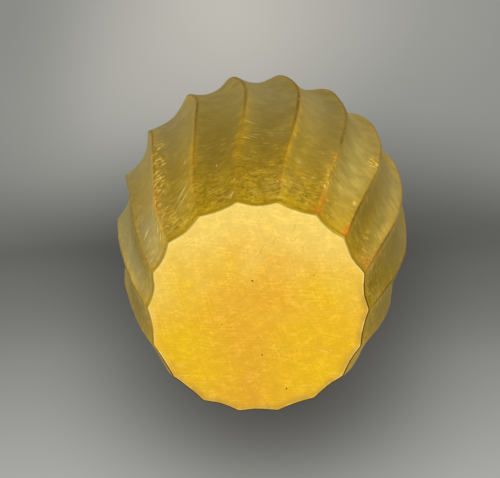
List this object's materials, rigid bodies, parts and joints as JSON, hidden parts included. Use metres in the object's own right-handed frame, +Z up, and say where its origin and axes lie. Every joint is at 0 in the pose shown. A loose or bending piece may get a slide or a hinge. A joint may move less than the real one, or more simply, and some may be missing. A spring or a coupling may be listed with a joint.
{
  "type": "fluted metal vase",
  "caption": "Raised copper vase with a gold finish: twisted concave flutes meet at sharp ridges from a scalloped flat base to a flared lip.",
  "frame": {"origin": "centre of the base plate's underside, on the vase's axis, where it stands on the table", "axes": "+Z up along the vase's axis to the mouth; +X through a ridge line at the foot"},
  "size_m": [0.125, 0.1232, 0.1922],
  "materials": {
    "body": "brushed gold finish over copper, copper showing on worn ridges",
    "base": "satin brushed",
    "solder": "dull, as flowed"
  },
  "bodies": {
    "root": {"base_plate": "base", "fluted_body": "body", "foot_braze": "solder", "rim_wire": "body"}
  },
  "joints": []
}
